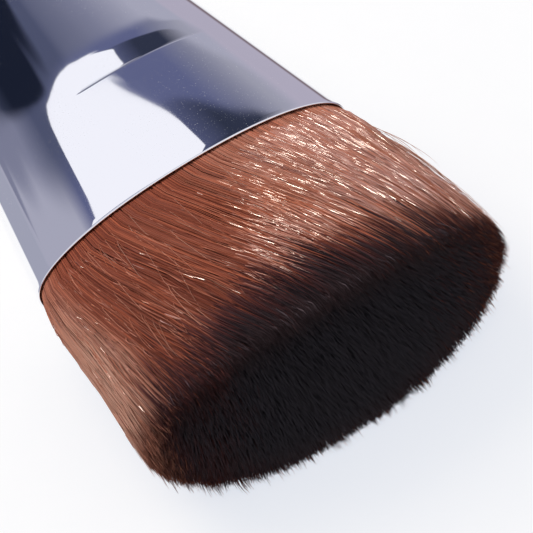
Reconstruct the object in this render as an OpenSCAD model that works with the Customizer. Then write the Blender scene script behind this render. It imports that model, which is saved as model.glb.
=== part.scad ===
// Foundation brush: a dense oval bristle head, a flared metal ferrule and a turned handle.
// The brush lies along X on its broad side, with its tips towards +X.
// Each piece is drawn with the ferrule's mouth at X = 0 and the brush's axis at Z = 0,
// and placed() then sets it on the surface that the brush lies on.

/* [Bristle head] */
// Length of hair in front of the ferrule, at the middle of the head
hair_l = 25.2; // [18:0.2:32]
// Half width of the head at its tips
tip_half_w = 20.4; // [18.5:0.1:23]
// Half thickness of the head at its tips
tip_half_h = 10.2; // [8:0.1:13]
// How far the cut face falls back at the ends of its width
wide_crown = 2.2; // [0:0.1:4]
// How far the cut face falls back at the ends of its thickness
thick_crown = 0.7; // [0:0.1:2]
// Most that one tip falls short of the cut face
tip_scatter = 0.5; // [0:0.1:1]
// Number of strands across the width of the head
column_count = 29; // [27:2:35]
// Number of strands across the thickness of the head
row_count = 13; // [11:2:13]
// Length of the potted roots inside the ferrule
root_l = 13; // [11:0.5:16]

/* [Ferrule] */
// Half width of the mouth
mouth_half_w = 18; // [16:0.1:20]
// Half thickness of the mouth
mouth_half_h = 6.4; // [5.5:0.1:7.5]
// Exponent of the mouth's oval, where 2 is an ellipse
mouth_squareness = 2.2; // [2:0.05:2.4]
// Narrowing of each side behind the mouth, in mm for each mm
side_taper = 0.17; // [0.1:0.01:0.22]
// Length of the straight sides behind the mouth
straight_l = 26; // [22:0.5:30]
// Length from the mouth to the round neck
flare_l = 52; // [44:0.5:60]
// Length of the round neck
neck_l = 9; // [8:0.5:14]
// Outer radius of the neck
neck_r = 6.8; // [6.4:0.05:7.2]
// Thickness of the sheet metal
wall = 0.45; // [0.3:0.05:0.6]
// Depth of the two crimps that hold the handle
crimp_depth = 0.3; // [0.1:0.05:0.4]

/* [Handle] */
// Length of the handle behind the ferrule
handle_l = 92; // [70:1:120]
// Radius of the handle where it meets the ferrule
shoulder_r = 6.9; // [6.8:0.05:7.3]
// Radius of the thickest stretch, which a brush stand holds
grip_r = 7.5; // [7.4:0.05:9]
// Distance from the shoulder to the thickest stretch
swell_l = 13; // [8:0.5:20]
// Length of the thickest stretch
grip_l = 12; // [8:0.5:20]
// Radius just before the rounded butt
butt_r = 4.2; // [3:0.1:6]
// Length of the rounded butt
butt_l = 5; // [3:0.5:8]
// Length of the tenon inside the ferrule
tenon_l = 16; // [12:0.5:18]

/* [Filling and fits] */
// Length of the epoxy behind the roots
plug_l = 7; // [4:0.5:9]
// Thickness of the adhesive round the tenon
adhesive_t = 0.25; // [0.15:0.05:0.35]
// Thickness of the thread wound round the roots
binding_t = 0.6; // [0.4:0.05:0.8]
// Width of the thread winding
binding_w = 3.4; // [2:0.2:5]
// Clearance between glued faces
seat_gap = 0.03; // [0.02:0.005:0.05]
// Clearance between the packed hair and the metal
pack_gap = 0.12; // [0.1:0.01:0.2]
// Depth of the flat where the head rests on a surface
rest_flat = 0.5; // [0.3:0.05:0.8]

/* [Hidden] */

ferrule_l = flare_l + neck_l;
tenon_r = neck_r - wall - adhesive_t;

// Whole strands each way
columns = round(column_count);
rows = round(row_count);

// Facets: sides of the oval sections, and steps of the curves in the handle's outline
oval_sides = 48;
swell_steps = 4;
taper_steps = 7;
butt_steps = 4;
round_fn = 96;

// Ferrule: sections along the flare, the round of the lip, and the crimps along the neck
straight_steps = 2;
curve_steps = 7;
lip_l = wall / 2;
crimp_half_w = wall * 2;
crimp_shares = [0.3, 0.68];
crimp_step_shares = [-1, 0, 1];

// Handle: chamfer at the tenon's front end
tenon_chamfer = adhesive_t * 4;

// Bristles: sections along a strand as shares of its length, and how far each is drawn in
bend_share = 0.42;
blunt_share = 0.93;
bend_inset_share = 0.1;
blunt_inset_share = 0.16;
// Least room between the extra ring of a bottom strand and the rings beside it
flat_room_share = 0.04;
splay_power = 1.84;
scatter_seed = 7;
root_plane = lip_l + seat_gap;
// Share that rounds a square grid into the mouth's oval, where 0.5 gives an ellipse
grid_rounding_share = 1 - pow(2, -2 / mouth_squareness);
binding_slack = seat_gap * 3;

function mix(a, b, share) = a + (b - a) * share;
function ease(share) = share * share * (3 - 2 * share);
function signed_power(v, p) = sign(v) * pow(abs(v), p);
function sum(list, i = 0) = i < len(list) ? list[i] + sum(list, i + 1) : 0;

// The ferrule's form, which the pieces inside it share

// Half width at a distance back from the mouth: straight sides, a reversed curve, then the neck
function straight_end() = mouth_half_w - side_taper * straight_l;
function curve_share(back) = (back - straight_l) / (flare_l - straight_l);
function curve_w(u) =
    mix(straight_end(), neck_r, ease(u))
    - side_taper * (flare_l - straight_l) * u * pow(1 - u, 2);
function half_w(back) =
    back <= straight_l ? mouth_half_w - side_taper * back
    : back < flare_l ? curve_w(curve_share(back))
    : neck_r;

// Half thickness and oval exponent, which both ease from the mouth to the neck
function flare_share(back) = ease(min(1, max(0, back / flare_l)));
function half_h(back) = mix(mouth_half_h, neck_r, flare_share(back));
function squareness(back) = mix(mouth_squareness, 2, flare_share(back));

// Depth of the crimps at a distance back from the mouth
function crimp_at(share) = flare_l + neck_l * share;
function one_crimp(offset) =
    abs(offset) < crimp_half_w ? crimp_depth * (1 + cos(180 * offset / crimp_half_w)) / 2 : 0;
function crimp(back) = sum([for (share = crimp_shares) one_crimp(back - crimp_at(share))]);

// One oval ring, drawn in from the outer face by a depth
function oval(back, depth) = [
    for (k = [0 : oval_sides - 1])
        let (angle = 360 * k / oval_sides, p = 2 / squareness(back))
            [-back,
             (half_w(back) - depth) * signed_power(cos(angle), p),
             (half_h(back) - depth) * signed_power(sin(angle), p)]
];

function join(lists) = [for (list = lists) for (item = list) item];
function quad(a, b, c, d) = [[a, b, c], [a, c, d]];

// Triangles between two rings of n points that start at indices a and b
function band(a, b, n) = join([
    for (k = [0 : n - 1]) quad(a + k, b + k, b + (k + 1) % n, a + (k + 1) % n)
]);

// A closed tube through oval rings, each [distance back, depth], the last joined to the first
module oval_tube(stations) {
    count = len(stations);
    points = join([for (s = stations) oval(s[0], s[1])]);
    faces = join([
        for (r = [0 : count - 1]) band(r * oval_sides, ((r + 1) % count) * oval_sides, oval_sides)
    ]);
    polyhedron(points, faces);
}

// A solid through oval rings, capped at both ends
module oval_block(stations) {
    count = len(stations);
    points = join([for (s = stations) oval(s[0], s[1])]);
    walls = join([
        for (r = [0 : count - 2]) band(r * oval_sides, (r + 1) * oval_sides, oval_sides)
    ]);
    front = [for (k = [0 : oval_sides - 1]) k];
    back = [for (k = [oval_sides - 1 : -1 : 0]) (count - 1) * oval_sides + k];
    polyhedron(points, concat(walls, [front], [back]));
}

// Turns an outline of [radius, distance back] about the brush's axis
module turned(outline) {
    rotate([0, -90, 0]) rotate_extrude($fn = round_fn) polygon(outline);
}

// bristles

// Half width and half thickness of the hair at a distance in front of the mouth
function splay(front) = 1 - pow(1 - min(1, front / hair_l), splay_power);
function packed_w(back) = half_w(back) - wall - pack_gap;
function packed_h(back) = half_h(back) - wall - pack_gap;
function head_w(front) =
    front < 0 ? packed_w(-front) : mix(packed_w(0), tip_half_w, splay(front));
function head_h(front) =
    front < 0 ? packed_h(-front) : mix(packed_h(0), tip_half_h, splay(front));

// A place on a square from -1 to 1, rounded into the mouth's oval
function rounded(p) = [
    p[0] * sqrt(1 - grid_rounding_share * p[1] * p[1]),
    p[1] * sqrt(1 - grid_rounding_share * p[0] * p[0])
];
function grid_place(i, j) = rounded([2 * i / columns - 1, 2 * j / rows - 1]);
function on_head(front, place) = [front, head_w(front) * place[0], head_h(front) * place[1]];

// The cut face: a low crown both ways, and tips that fall short of it by a scatter
scatter = rands(0, tip_scatter, columns * rows, scatter_seed);
middle_strand = floor(columns * rows / 2);
function tip_front(s, place) =
    hair_l - wide_crown * pow(place[0], 2) - thick_crown * pow(place[1], 2)
    - (s == middle_strand ? 0 : scatter[s]);

function corners(i, j) = [for (c = [[0, 0], [1, 0], [1, 1], [0, 1]]) grid_place(i + c[0], j + c[1])];
function centre(places) = (places[0] + places[1] + places[2] + places[3]) / 4;

// Four corners of a strand at a share of its length, drawn in towards its own centre line
function strand_ring(i, j, share, inset) =
    let (places = corners(i, j), middle = centre(places),
         front = tip_front(i * rows + j, middle) * share)
        [for (p = places) on_head(front, mix(p, middle, inset))];
function strand_tip(i, j) =
    let (middle = centre(corners(i, j)))
        on_head(tip_front(i * rows + j, middle), middle);
function strand_points(i, j) = concat(
    strand_ring(i, j, bend_share, bend_inset_share),
    strand_ring(i, j, blunt_share, blunt_inset_share),
    [strand_tip(i, j)]
);

// Indices: the grid where the hair leaves the roots, then nine points for each strand
function grid_index(i, j) = i * (rows + 1) + j;
grid_count = (columns + 1) * (rows + 1);
strand_point_count = 9;
function strand_index(i, j) = grid_count + (i * rows + j) * strand_point_count;
function root_corner(i, j) = [
    grid_index(i, j), grid_index(i + 1, j), grid_index(i + 1, j + 1), grid_index(i, j + 1)
];
function ring_from(first) = [for (c = [0 : 3]) first + c];
function strand_rings(i, j) =
    let (bend = strand_index(i, j))
        concat(
            [root_corner(i, j), ring_from(bend)],
            j == 0 ? [ring_from(flat_index + i * 4)] : [],
            [ring_from(bend + 4)]
        );
function strand_faces(i, j) =
    let (rings = strand_rings(i, j), last = rings[len(rings) - 1], tip = strand_index(i, j) + 8)
        join([
            for (c = [0 : 3])
                let (n = (c + 1) % 4)
                    concat(
                        join([
                            for (r = [0 : len(rings) - 2])
                                quad(rings[r][c], rings[r + 1][c], rings[r + 1][n], rings[r][n])
                        ]),
                        [[last[c], tip, last[n]]]
                    )
        ]);

// Round the edge of the grid, once
edge = concat(
    [for (i = [0 : columns - 1]) [i, 0]],
    [for (j = [0 : rows - 1]) [columns, j]],
    [for (i = [columns : -1 : 1]) [i, rows]],
    [for (j = [rows : -1 : 1]) [0, j]]
);
edge_count = len(edge);
root_index = grid_count + columns * rows * strand_point_count;
rebate = seat_gap + binding_t + binding_slack * 2 - pack_gap;
// Root block rings, each [distance back, depth]: a rebate at the back holds the winding
root_rings = [
    [root_l - binding_w - binding_slack * 2, 0],
    [root_l - binding_w - binding_slack * 2, rebate],
    [root_l, rebate]
];
function root_ring(ring) = [
    for (e = edge)
        let (place = grid_place(e[0], e[1]))
            [-ring[0],
             (packed_w(ring[0]) - ring[1]) * place[0],
             (packed_h(ring[0]) - ring[1]) * place[1]]
];

flat_index = root_index + len(root_rings) * edge_count;

strands = join([for (i = [0 : columns - 1]) [for (j = [0 : rows - 1]) [i, j]]]);
hair_points = join([for (s = strands) strand_points(s[0], s[1])]);
lowest = -min([for (p = hair_points) p[2]]);
rest_h = lowest - rest_flat;
function set_down(p) = [p[0], p[1], max(p[2], -rest_h)];

// The resting flat: each bottom strand has an extra ring, where its lower corners reach the flat
function reach_share(height) =
    (rest_h / height - packed_h(0)) / (tip_half_h - packed_h(0));
function flat_front(i, height) =
    let (tip = tip_front(i * rows, centre(corners(i, 0))),
         reach = min(1, max(0, reach_share(height))),
         front = hair_l * (1 - pow(1 - reach, 1 / splay_power)))
        min(tip * (blunt_share - flat_room_share), max(tip * (bend_share + flat_room_share), front));
function flat_ring(i) =
    let (places = corners(i, 0), middle = centre(places),
         drawn = [for (p = places) mix(p, middle, blunt_inset_share)],
         left = flat_front(i, -drawn[0][1]), right = flat_front(i, -drawn[1][1]),
         fronts = [left, right, right, left])
        [for (c = [0 : 3]) on_head(fronts[c], drawn[c])];
flat_points = join([for (i = [0 : columns - 1]) flat_ring(i)]);

module bristles() {
    grid = join([
        for (i = [0 : columns])
            [for (j = [0 : rows]) on_head(-root_plane, grid_place(i, j))]
    ]);
    roots = join([for (ring = root_rings) root_ring(ring)]);
    first_wall = join([
        for (k = [0 : edge_count - 1])
            let (a = edge[k], b = edge[(k + 1) % edge_count])
                quad(grid_index(a[0], a[1]), grid_index(b[0], b[1]),
                     root_index + (k + 1) % edge_count, root_index + k)
    ]);
    walls = join([
        for (r = [0 : len(root_rings) - 2])
            band(root_index + (r + 1) * edge_count, root_index + r * edge_count, edge_count)
    ]);
    bottom = [for (k = [0 : edge_count - 1]) root_index + (len(root_rings) - 1) * edge_count + k];
    color("sienna") placed() polyhedron(
        concat(grid, [for (p = hair_points) set_down(p)], roots, [for (p = flat_points) set_down(p)]),
        concat(join([for (s = strands) strand_faces(s[0], s[1])]), first_wall, walls, [bottom])
    );
}

// ferrule and what fills it

neck_stations = join([
    for (share = crimp_shares) [for (step = crimp_step_shares) crimp_at(share) + step * crimp_half_w]
]);
outer_stations = concat(
    [for (k = [0 : straight_steps]) mix(lip_l, straight_l, k / straight_steps)],
    [for (k = [1 : curve_steps]) mix(straight_l, flare_l, k / curve_steps)],
    neck_stations,
    [ferrule_l]
);

module ferrule() {
    count = len(outer_stations);
    outside = [for (back = outer_stations) [back, crimp(back)]];
    inside = [for (k = [count - 1 : -1 : 0]) [outer_stations[k], wall + crimp(outer_stations[k])]];
    color("silver") placed() oval_tube(concat([[0, wall / 2]], outside, inside));
}

module root_binding() {
    outer = wall + seat_gap + binding_slack;
    front = root_l - binding_w;
    color("ivory") placed() oval_tube([
        [front, outer],
        [root_l, outer],
        [root_l, outer + binding_t],
        [front, outer + binding_t]
    ]);
}

module epoxy_plug() {
    start = root_l + seat_gap;
    depth = wall + seat_gap;
    color("khaki") placed() oval_block([[start, depth], [start + plug_l, depth]]);
}

module neck_adhesive() {
    backs = concat([flare_l + seat_gap], neck_stations, [ferrule_l - seat_gap]);
    count = len(backs);
    outside = [for (back = backs) [back, wall + seat_gap + crimp(back)]];
    inner_depth = neck_r - tenon_r - seat_gap;
    inside = [for (k = [count - 1 : -1 : 0]) [backs[k], inner_depth + crimp(backs[k])]];
    color("wheat") placed() oval_tube(concat(outside, inside));
}

// handle

// Outline points [radius, distance back] along the tenon, with its grooves under the crimps
function along_tenon(from, to) = concat(
    [[tenon_r, from]],
    [for (back = neck_stations) [tenon_r - crimp(back), back]],
    [[tenon_r, to]]
);

shoulder = ferrule_l + seat_gap;
taper_l = handle_l - swell_l - grip_l - butt_l;

module handle() {
    tenon_front = ferrule_l - tenon_l;
    swell = [
        for (k = [0 : swell_steps])
            let (share = k / swell_steps)
                [mix(shoulder_r, grip_r, ease(share)), shoulder + swell_l * share]
    ];
    taper = [
        for (k = [0 : taper_steps])
            let (share = k / taper_steps)
                [mix(grip_r, butt_r, ease(share)), shoulder + swell_l + grip_l + taper_l * share]
    ];
    butt = [
        for (k = [1 : butt_steps])
            let (angle = 90 * k / butt_steps)
                [k == butt_steps ? 0 : butt_r * cos(angle),
                 shoulder + handle_l - butt_l + butt_l * sin(angle)]
    ];
    color("black") placed() turned(concat(
        [[0, tenon_front], [tenon_r - tenon_chamfer, tenon_front]],
        along_tenon(tenon_front + tenon_chamfer, shoulder),
        swell, taper, butt
    ));
}

// placing

middle_x = (hair_l - shoulder - handle_l) / 2;

// Stands a piece on the surface, with the brush's middle at the origin
module placed() {
    translate([-middle_x, 0, rest_h]) children();
}

bristles();
ferrule();
root_binding();
epoxy_plug();
neck_adhesive();
handle();
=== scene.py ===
"""A foundation brush: mirror-bright oval ferrule, dense brown hair with dipped dark tips, black handle.

Shapes are worked out in millimetres in the brush's own frame: X runs along the axis towards the
tips with the ferrule's mouth at 0, Y runs across the width, and Z through the thickness. Left is
-Y and right is +Y, as in the photograph. In the hair, u and v are a place's shares of the head's
half width and half thickness.
"""

import bpy
import numpy as np
from mathutils import Matrix, Vector


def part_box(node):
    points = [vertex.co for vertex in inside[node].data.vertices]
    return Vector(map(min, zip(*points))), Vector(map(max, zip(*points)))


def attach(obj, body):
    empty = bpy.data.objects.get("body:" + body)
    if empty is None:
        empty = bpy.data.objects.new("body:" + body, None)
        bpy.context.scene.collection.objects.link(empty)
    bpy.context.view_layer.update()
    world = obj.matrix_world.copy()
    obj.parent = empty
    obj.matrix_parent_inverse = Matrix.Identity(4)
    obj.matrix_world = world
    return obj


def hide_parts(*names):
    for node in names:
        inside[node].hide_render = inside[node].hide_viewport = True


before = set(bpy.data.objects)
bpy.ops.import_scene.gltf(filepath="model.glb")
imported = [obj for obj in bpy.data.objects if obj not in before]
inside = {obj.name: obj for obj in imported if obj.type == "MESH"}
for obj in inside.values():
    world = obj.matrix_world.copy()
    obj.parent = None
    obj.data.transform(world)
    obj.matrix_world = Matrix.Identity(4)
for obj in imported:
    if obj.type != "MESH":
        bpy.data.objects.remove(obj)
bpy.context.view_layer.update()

MM = 0.001
SEED = 20

# Where the brush's own frame lies in the part's frame, in metres
MOUTH_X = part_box("ferrule")[1].x
AXIS_Z = (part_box("handle")[0].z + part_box("handle")[1].z) / 2
# The surface that the brush lies on, in its own frame
TABLE_Z = -AXIS_Z / MM

# Ferrule, in millimetres
MOUTH_HALF_W = 18.0
MOUTH_HALF_H = 6.4
MOUTH_SQUARENESS = 2.2
SIDE_TAPER = 0.17
STRAIGHT_L = 26.0
FLARE_L = 52.0
NECK_L = 9.0
NECK_R = 6.8
WALL = 0.45
LIP_R = 0.16
CRIMP_DEPTH = 0.3
CRIMP_HALF_W = 0.9
CRIMP_SHARES = (0.3, 0.68)
FERRULE_L = FLARE_L + NECK_L

# Pressed crease on the broad faces: its distance behind the mouth, and its groove
CREASE_BACK = 15.0
GROOVE_DEPTH = 0.010
GROOVE_HALF_W = 0.09
# Where both start and over what length, and where they stop and over what length
CREASE_SPAN = (-5.0, 3.5, 13.0, 3.0)
GROOVE_SPAN = (-3.4, 1.2, 12.0, 2.0)
# Slope in front of the crease, and what the crease adds to the slope by the distance behind it
DRAWN_SLOPE = 0.008
CREASE_STEP = ((0, -0.055), (1.2, -0.052), (2.1, -0.043), (3.2, -0.006), (5, 0))
# Where the broad faces start to turn, by the place across them, and their slope behind that start
FLARE_START = ((-14, 21.5), (-9.5, 19.2), (-7.6, 17.0), (-6.1, 16.0), (-3, 17.3), (1.3, 18.5), (6, 18.8))
FLARE_SLOPE = ((-6, 0), (-3.5, 0.001), (0, 0.006), (1.5, 0.014), (5, 0.022), (12, 0.016), (26, 0))
# Their slope between the crease and that start
SETTLED_SLOPE = ((-3.5, 0.0), (-0.5, 0.0043))

# Hair
HAIR_L = 25.2
PACK_GAP = 0.12
TIP_HALF_W = 20.3
TIP_HALF_H = 10.15
CUT_L = 27.1
WIDE_CROWN = 3.5
WIDE_TILT = 0.35
THICK_CROWN = 0.7
# Sideways shift of the hair's left and right edges, by the distance in front of the mouth
LEFT_SHIFT = (
    (0, 0), (1.2, -0.35), (3.8, -0.35), (6.3, 0), (10.6, 0.6), (14.6, 0.94), (19, 1.03), (25, 0.95),
)
RIGHT_SHIFT = ((0, 0), (1.2, 0.45), (5, 0.4), (8, 0.1), (15, 0.1), (20, 0.25), (25, 0.45))
SPLAY_POWER = 1.84
# How far the strands over the broad faces are turned round the axis at the mouth, in radians
HAIR_TURN = 0.46
# Twist of a three-sided strand at which a facet meets the glint lamp's light, in radians
FACET_TURN = 0.15
# Waves along the hair: length, height, and how far its tuft and the strand itself shift them
SWAY_WAVES = ((21, 0.22, 1, 0.5), (9.5, 0.11, 1.7, 1), (4.3, 0.035, 0, 2.9))
# Where the side hair starts behind the mouth, and where the hair that lies over it does
SIDE_ROOT = -1.2
OVER_ROOT = -0.6
# How far the glossy and the stray hairs reach to the sides
GLOSSY_HALF_W = TIP_HALF_W + 0.7
STRAY_HALF_W = TIP_HALF_W + 0.9

# Pieces that the side, tip and glossy hair are each made in, and the grid of strands on the cut face
PIECES = 4
TIP_COLUMNS = 184
TIP_ROWS = 96
# Sections of the side hair: share of the strand's length, and of its thickness
SIDE_SECTIONS = (
    (0, 1), (0.12, 1), (0.3, 1), (0.48, 1), (0.66, 0.95), (0.82, 0.8), (0.93, 0.5), (1, 0.12),
)
# Sections of the fringe: distance behind the tip, share of the thickness, and share of the lean
FRINGE_SECTIONS = ((7.0, 1, 0), (4.0, 1, 0.2), (1.8, 0.85, 0.5), (0.7, 0.65, 0.8), (0.0, 0.2, 1))
# Sections of the tips: the same, with the share of the distance from the axis last
TIP_SECTIONS = ((6.5, 1, 0.88), (2.2, 0.9, 0.955), (0.9, 0.6, 0.985), (0.0, 0.12, 1))

# Share of a strand's length at which the dye begins, along the head's width
DYE_START = (
    (-1.0, 1.25), (-0.94, 1.15), (-0.77, 0.91), (-0.5, 0.87), (-0.2, 0.8), (0.2, 0.82), (0.55, 0.845),
    (0.8, 0.92), (0.95, 1.04), (1.0, 1.07),
)
# How pale the painted sheen makes the hair at the left side, along its length
SHEEN_ALONG = (
    (0, 0.3), (0.1, 0.35), (0.22, 0.6), (0.35, 0.95), (0.5, 1.05), (0.65, 1.35), (0.8, 1.15),
    (1.0, 1.0),
)

# Painted light: how much lighter the dyed hair is painted at its very ends, to lift the shade among the tips
END_PAINTED_LIGHT = 0.9

# Painted light and shade along the head's width: the hair is painted lighter on the right, where the light
# falls, and darker left of the middle
PAINTED_LIGHT_ACROSS = (
    (-1.0, 0.05), (-0.9, 0.0), (-0.78, -0.08), (-0.53, -0.15), (-0.2, -0.08), (0.1, 0.0), (0.35, 0.15),
    (0.6, 0.3), (1.0, 0.3),
)

# Handle
SHOULDER = FERRULE_L + 0.03
SHOULDER_R = 6.9
FILLET_R = 0.35
GRIP_R = 7.5
SWELL_L = 13.0
GRIP_L = 12.0
HANDLE_L = 92.0
BUTT_R = 4.2
BUTT_L = 5.0

# White card: its outline on the panels' plane, across and up, in millimetres
CARD_OUTLINE = (
    (-66, 70), (-64, -7.4), (-60, -11.5), (-36, -15.4), (-19, -16), (-38, -21), (0, -15), (57, -8),
    (84, -7.5), (102, -4.5), (114, -1.5), (122, 2), (127, 8), (129, 14), (131, 18), (139, 21),
    (146, 25), (156, 70),
)
# Tones of the shaded panel, red, green and blue, from the lightest to the darkest
LIT = (168, 168, 186)
PALE = (157, 157, 173)
GREY = (124, 126, 149)
BLUE = (94, 99, 136)
DIM = (78, 83, 109)
DARK = (47, 52, 71)
NIGHT = (26, 31, 47)
# Places across it and the tones there: close behind the rim, further back, and low down
PANEL_NEAR = (
    (-330, *LIT), (-240, *PALE), (-170, *DARK), (-108, *DARK), (-35, *BLUE), (145, *BLUE),
    (186, *LIT), (560, *LIT),
)
PANEL_FAR = (
    (-330, *LIT), (-240, *PALE), (-174, *GREY), (-119, *BLUE), (10, *BLUE), (120, *DIM),
    (158, *DIM), (250, *GREY), (490, *GREY), (545, *PALE),
)
PANEL_DARK = (
    (-260, *LIT), (-170, *LIT), (-64, *GREY), (50, *DIM), (88, *DIM), (100, *NIGHT),
    (200, *NIGHT), (255, *DARK), (400, *GREY), (560, *GREY),
)
# Height over the rim's line at which the low colours begin, and half the height of their soft edge
PANEL_EDGE = (
    (-174, -66), (-119, -49), (-68, -41), (-20, -37), (57, -37), (100, -36), (122, -33), (155, -31),
    (192, -29.5), (232, -28), (272, -27.5), (320, -24), (370, -14), (430, -10), (560, 10),
)
EDGE_SOFTNESS = ((0, 9), (95, 4), (250, 4), (330, 9))
# Height over the rim's line at which the near colours end, and over what height they fade
NEAR_END = (
    (-240, -14), (-190, -15), (-173, -13.7), (-156, -12.2), (-140, -11.2), (-108, -11.8), (-79, -13.2),
    (-50, -12), (100, -3), (185, 1), (285, 1.5), (335, 13), (395, 24), (430, 28), (475, 62), (490, 62),
    (520, 30),
)
NEAR_FADE = ((-240, 8), (-190, 5), (-50, 3.6), (0, 6), (100, 16), (560, 16))
# The panel's ends
PANEL_LEFT = -330
PANEL_RIGHT = 560
PANEL_LOW = -290
PANEL_HIGH = 75
# Card and panel lie square to this way from a place on the ferrule's face, at these distances
PANEL_WAY = (-0.64954, 0.14996, 0.74539)
PANEL_FROM = (-8.0, -1.787, 6.378)
CARD_AWAY = 450.0
PANEL_AWAY = 452.0
CARD_COLOUR = (0.93, 0.93, 1.0)
# The rim's line on their plane, which is an arc: its top, how it bends, and its middle
RIM_TOP = 24.8
RIM_BEND = 0.00135
RIM_MIDDLE = 85

# Sweep round the table: the colour of its wall on the left and on the right
WALL_LEFT = (160, 162, 180)
WALL_RIGHT = (178, 172, 190)
# Its colour near the brush on the right, a painted shadow of the brush on the table as the ferrule mirrors
# it, how far out that goes, and how much nearer it is there
SWEEP_SHADOW = (126, 112, 120)
SWEEP_SHADOW_R = 80
NEARER_RIGHT = 12
# Its colours away from the wall, low down and high up
SWEEP_PALE = (246, 246, 250)
SWEEP_HIGH = (218, 219, 230)
# Where the wall is, and a strip that stays pale to the top, which the lip mirrors, in degrees from +X
WALL_TURN = 178
STRIP_TURN = 20
# Its middle is this far behind the mouth
SWEEP_BACK = 20
# Reach and height in millimetres, and how grey it is
SWEEP_PROFILE = (
    (45, 0.3, 0), (50, 0.3, 0.1), (58, 0.3, 1), (66, 0.3, 1), (80, 0.3, 1), (160, 0.3, 1),
    (300, 0.4, 1), (650, 4, 1), (850, 60, 1), (950, 200, 1), (960, 400, 1), (900, 640, 1),
    (760, 850, 0.85), (560, 1000, 0.5),
)

# Scrim over the table, in millimetres
SCRIM_R = 600.0
SCRIM_UP = 1005.0
SCRIM_MIDDLE = (196, 198, 212)
SCRIM_EDGE = (222, 223, 233)

# Table: its reach in metres, its two tones, and what the camera and reflections see besides
TABLE_REACH = 3.0
TABLE_TONES = ((0.453, 0.388, 0.282), (0.473, 0.406, 0.298))
TABLE_GLOW = (0.650, 0.690, 0.775)
# Where the head rests on it in front of the mouth, and the gap under the brush in metres
HEAD_REST = 20
TABLE_GAP = 0.00005

# Camera, solved from the brush's outlines: its place, its right and forward, and its lens
CAMERA_PLACE = (195.07, -61.42, 237.14)
CAMERA_RIGHT = (0.5246, 0.8306, -0.1869)
CAMERA_FORWARD = (-0.6002, 0.2051, -0.7731)
CAMERA_LENS = 216.14
# The lamps' distance in metres from a place in the hair, and the world's soft light
LAMP_AWAY = 0.7
LAMP_AIM = (8, 0, 0)
SOFT_LIGHT = (0.93, 0.96, 1.0, 1)
SOFT_STRENGTH = 0.5

# Colours of the materials in linear light, from the darker tone to the lighter one
PLATE_TONES = ((0.935, 0.94, 0.962), (0.945, 0.95, 0.968))
LACQUER_TONES = ((0.008, 0.008, 0.009), (0.016, 0.014, 0.014))
BROWN_TONES = ((0.170, 0.042, 0.026), (0.480, 0.132, 0.066))
GLOSSY_TONES = ((0.170, 0.042, 0.026), (0.52, 0.165, 0.082))
# Pale tones toward which the painted sheen, and strands that are paler at random, are blended
PALE_AND_SHEEN_BROWN = (0.50, 0.27, 0.20)
PALE_AND_SHEEN_GLOSSY = (0.52, 0.29, 0.25)
DYE_EDGE = (0.095, 0.031, 0.030)
# Dyed tones, darker to lighter by the shade value; the lighter ones also serve painted light at the dyed
# ends and at the cut face's rim
DYE_TONES = ((0.012, 0.010, 0.013), (0.060, 0.038, 0.041))
DYED_TIP_TONES = ((0.062, 0.055, 0.066), (0.084, 0.055, 0.059))
THREAD_TONES = ((0.55, 0.5, 0.4), (0.8, 0.76, 0.66))
EPOXY_TONES = ((0.4, 0.28, 0.1), (0.62, 0.47, 0.22))
ADHESIVE_TONES = ((0.6, 0.55, 0.4), (0.8, 0.75, 0.6))


# Numbers and meshes

def mix(a, b, share):
    """a at share 0 and b at share 1, in a straight line."""
    return a + (b - a) * share


def ease(share):
    """Smooth step: 3 t^2 - 2 t^3 of share held between 0 and 1."""
    share = np.clip(share, 0, 1)
    return share * share * (3 - 2 * share)


def held(value, start, rise, end, fall):
    """1 between start and end, eased in over the rise and out over the fall."""
    return ease((value - start) / rise) * ease((end - value) / fall)


def bump(offset, half_width):
    """Raised cosine: 1 in the middle, 0 at half_width and beyond."""
    return np.where(np.abs(offset) < half_width, 0.5 + 0.5 * np.cos(np.pi * offset / half_width), 0.0)


def signed_power(value, power):
    """sign(v) |v|^p."""
    return np.sign(value) * np.abs(value) ** power


def table(value, rows):
    """Straight-line lookup of value in rows of (value, result)."""
    return np.interp(value, [row[0] for row in rows], [row[1] for row in rows])


def place(points):
    """Brush-frame millimetres to part-frame metres: scaled, then moved to the mouth and the axis."""
    return np.asarray(points) * MM + np.array([MOUTH_X, 0.0, AXIS_Z])


def add_object(name, data):
    """An object with that data, in the scene."""
    added = bpy.data.objects.new(name, data)
    bpy.context.collection.objects.link(added)
    return added


def add_mesh(name, points, faces, values=None, smooth=True):
    """A mesh object at the origin from points (N, 3) in millimetres and faces (M, 3 or 4)."""
    faces = np.asarray(faces, dtype=np.int32)
    points = place(points)
    mesh = bpy.data.meshes.new(name)
    mesh.vertices.add(len(points))
    mesh.vertices.foreach_set("co", points.astype(np.float32).ravel())
    mesh.loops.add(faces.size)
    mesh.loops.foreach_set("vertex_index", faces.ravel())
    mesh.polygons.add(len(faces))
    mesh.polygons.foreach_set("loop_start", np.arange(len(faces), dtype=np.int32) * faces.shape[1])
    mesh.update(calc_edges=True)
    mesh.polygons.foreach_set("use_smooth", np.full(len(faces), smooth))
    for key, data in (values or {}).items():
        layer = mesh.attributes.new(key, "FLOAT", "POINT")
        layer.data.foreach_set("value", np.asarray(data, dtype=np.float32).ravel())
    mesh.validate()
    return add_object(name, mesh)


def grid_faces(rows, columns, closed=False):
    """Quads of a grid whose columns wrap round, and whose rows wrap too if closed."""
    last = rows if closed else rows - 1
    r, c = np.meshgrid(np.arange(last), np.arange(columns), indexing="ij")
    r1, c1 = (r + 1) % rows, (c + 1) % columns
    quads = np.stack([r * columns + c, r * columns + c1, r1 * columns + c1, r1 * columns + c], -1)
    return quads.reshape(-1, 4)


# The ferrule's shape

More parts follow.
